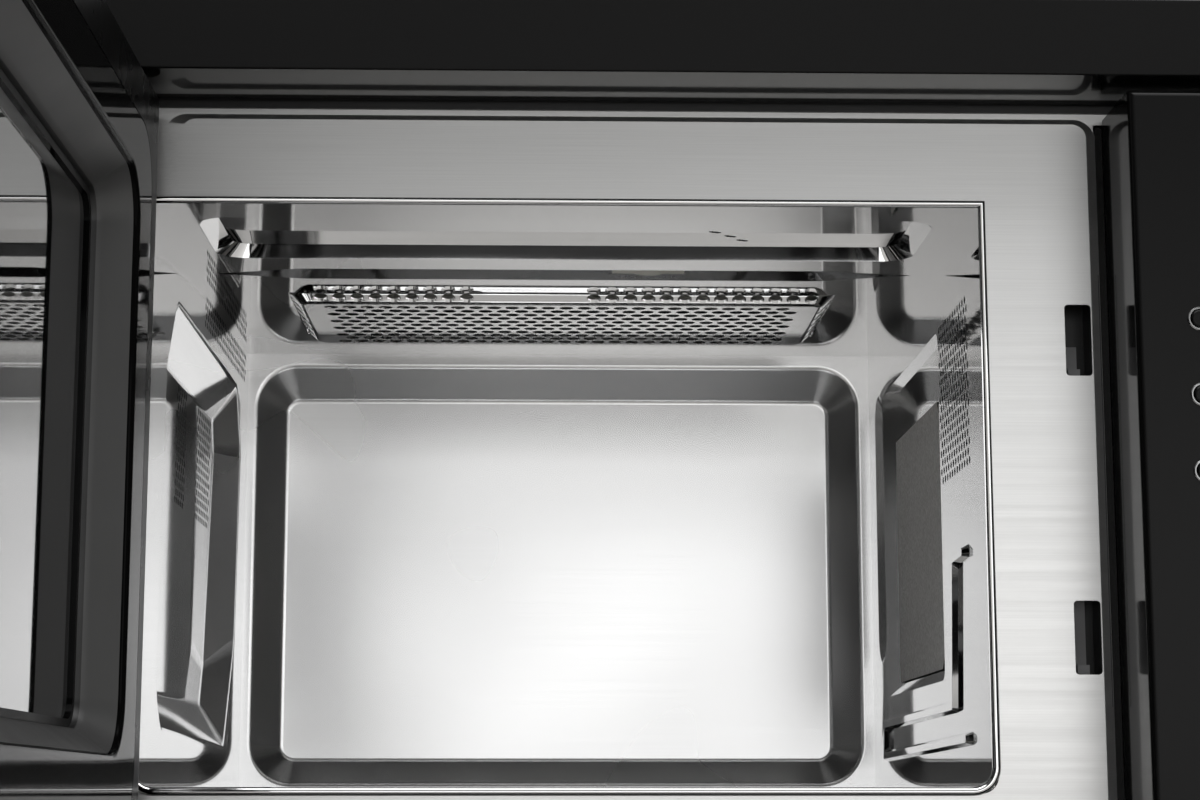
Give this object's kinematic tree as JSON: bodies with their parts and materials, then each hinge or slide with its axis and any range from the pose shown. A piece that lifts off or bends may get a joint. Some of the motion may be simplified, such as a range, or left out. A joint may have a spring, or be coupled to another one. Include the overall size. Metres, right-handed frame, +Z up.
{
  "type": "built-in microwave oven",
  "caption": "Built-in microwave oven with a side-hinged door standing open, bright steel cavity with grill, control panel beside it and steel body to slide into a cabinet.",
  "frame": {"origin": "underside of the base plate, middle of the front's width, with the middle of the body's depth at Y 0", "axes": "+X to the viewer's right when facing the appliance, +Y from the front into the cabinet, +Z up"},
  "size_m": [0.6025, 0.8305, 0.391],
  "materials": {
    "polished_steel": "bright annealed stainless sheet, mirror-like",
    "brushed_steel": "fine horizontal brushing",
    "zinc_steel": "zinc-coated sheet steel, faintly spangled",
    "black_satin": "moulded black plastic, satin",
    "black_gloss": "moulded black plastic, high gloss",
    "trim_black": "black powder coat, fine matte",
    "black_glass": "toughened glass, printed black behind",
    "window_glass": "tinted toughened glass",
    "display_glass": "smoked acrylic",
    "bright_ring": "bright plated",
    "knob_metal": "turned and satin anodised",
    "mica": "pressed mica sheet, silvery grey",
    "quartz": "frosted quartz with ceramic feet",
    "laminations": "stacked and varnished sheet iron",
    "copper": "varnished copper wire",
    "fin_aluminium": "pressed aluminium",
    "natural_plastic": "heat-resistant natural plastic",
    "grey_plastic": "glass-filled grey plastic",
    "board_green": "glass-fibre board with solder mask",
    "display_core": "black display module",
    "capacitor_can": "drawn aluminium can",
    "diode_black": "moulded black epoxy",
    "lamp_glass": "clear lamp glass",
    "screw_steel": "zinc-plated steel"
  },
  "bodies": {
    "root": {"base_plate": "zinc_steel", "rear_panel": "zinc_steel", "cover_top": "zinc_steel", "cover_side_left": "zinc_steel", "cover_side_right": "zinc_steel", "front_rails": "trim_black", "trim_strips": "trim_black", "front_plate": "brushed_steel", "cavity_ceiling": "polished_steel", "cavity_left_wall": "polished_steel", "cavity_right_wall": "polished_steel", "cavity_floor": "polished_steel", "cavity_back_wall": "polished_steel", "grill_screen": "polished_steel", "grill_reflector": "zinc_steel", "grill_heater": "quartz", "waveguide_cover": "mica", "waveguide": "zinc_steel", "magnetron_body": "zinc_steel", "magnetron_fins": "fin_aluminium", "magnetron_antenna": "bright_ring", "transformer_core": "laminations", "transformer_windings": "copper", "hv_capacitor": "capacitor_can", "capacitor_clamp": "zinc_steel", "hv_diode": "diode_black", "fan_shroud": "grey_plastic", "fan_motor": "laminations", "lamp_holder": "zinc_steel", "oven_lamp": "lamp_glass", "turntable_motor": "grey_plastic", "mains_terminal": "grey_plastic", "noise_filter_board": "board_green", "thermal_cutouts": "zinc_steel", "assembly_screws": "screw_steel", "control_fascia": "black_satin", "display_window": "display_glass", "display_module": "display_core", "control_board": "board_green", "selector_encoder": "grey_plastic", "button_rings": "bright_ring", "interlock_housing": "natural_plastic", "micro_switches": "grey_plastic", "hinge_brackets": "zinc_steel", "hinge_pins": "screw_steel"},
    "fan": {"fan_blade": "grey_plastic"},
    "turntable_drive": {"turntable_coupler": "natural_plastic"},
    "knob": {"selector_knob": "knob_metal"},
    "release_key": {"door_release_button": "black_gloss"},
    "lifter": {"release_lever": "natural_plastic"},
    "button_upper": {"push_button_1": "black_satin"},
    "button_middle": {"push_button_2": "black_satin"},
    "button_lower": {"push_button_3": "black_satin"},
    "door": {"door_casing": "black_satin", "door_outer_glass": "black_glass", "door_choke_cover": "black_gloss", "door_pan": "zinc_steel", "door_screen": "zinc_steel", "door_inner_glass": "window_glass"},
    "latch": {"door_latch": "natural_plastic"}
  },
  "joints": [
    {"name": "door_swing", "type": "hinge", "parent": "root", "child": "door", "pos_m": [-0.284, -0.2185, 0.197], "axis": [0, 0, 1], "range_deg": [-20, 90]},
    {"name": "latch_lift", "type": "slide", "parent": "door", "child": "latch", "axis": [0, 0, 1], "range_m": [0, 0.004], "stiffness_N_per_m": 300},
    {"name": "release_press", "type": "slide", "parent": "root", "child": "release_key", "axis": [0, 1, 0], "range_m": [0, 0.004], "stiffness_N_per_m": 400},
    {"name": "lifter_rise", "type": "slide", "parent": "root", "child": "lifter", "axis": [0, 0, 1], "range_m": [0, 0.004]},
    {"name": "knob_turn", "type": "hinge", "parent": "root", "child": "knob", "pos_m": [0.214, -0.24, 0.2286], "axis": [0, -1, 0], "continuous": true},
    {"name": "button_upper_press", "type": "slide", "parent": "root", "child": "button_upper", "axis": [0, 1, 0], "range_m": [0, 0.0015], "stiffness_N_per_m": 200},
    {"name": "button_middle_press", "type": "slide", "parent": "root", "child": "button_middle", "axis": [0, 1, 0], "range_m": [0, 0.0015], "stiffness_N_per_m": 200},
    {"name": "button_lower_press", "type": "slide", "parent": "root", "child": "button_lower", "axis": [0, 1, 0], "range_m": [0, 0.0015], "stiffness_N_per_m": 200},
    {"name": "fan_spin", "type": "hinge", "parent": "root", "child": "fan", "pos_m": [0.196, 0.17, 0.19], "axis": [0, 1, 0], "continuous": true},
    {"name": "turntable_spin", "type": "hinge", "parent": "root", "child": "turntable_drive", "pos_m": [-0.0945, -0.0225, 0.073], "axis": [0, 0, 1], "continuous": true}
  ],
  "couplings": [
    {"joint": "lifter_rise", "follows": "release_press", "ratio": 1}
  ]
}
